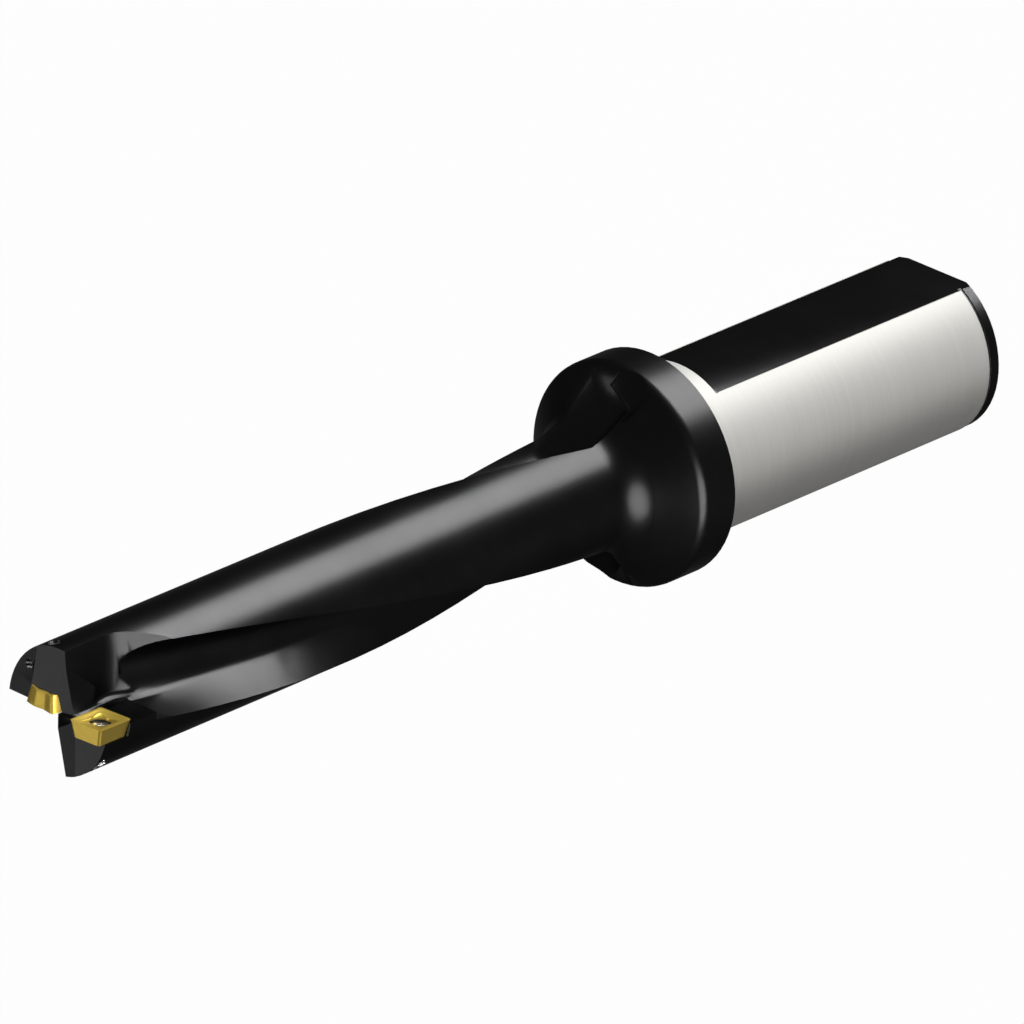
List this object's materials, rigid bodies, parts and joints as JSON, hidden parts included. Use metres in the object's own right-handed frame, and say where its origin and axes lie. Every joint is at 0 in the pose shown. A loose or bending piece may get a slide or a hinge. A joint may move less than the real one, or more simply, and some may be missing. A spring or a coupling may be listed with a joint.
{
  "type": "indexable drill",
  "caption": "Two-flute indexable drill with a flanged cylindrical shank with a flat, helical flutes and screwed-on gold-coated inserts.",
  "frame": {"origin": "centre of the shank's end face; the drill stands on its shank end", "axes": "+Z along the drill axis from the shank to the tip, +X towards the peripheral insert, +Y the outward normal of the shank flat"},
  "size_m": [0.032, 0.032, 0.1679],
  "materials": {
    "black_steel": "glossy black coated tool steel, ground bright on the shank cylinder",
    "gold_carbide": "gold nitride coating, satin",
    "screw_steel": "bright hardened steel"
  },
  "bodies": {
    "root": {"drill_body": "black_steel", "central_insert": "gold_carbide", "peripheral_insert": "gold_carbide", "central_insert_screw": "screw_steel", "peripheral_insert_screw": "screw_steel"}
  },
  "joints": []
}
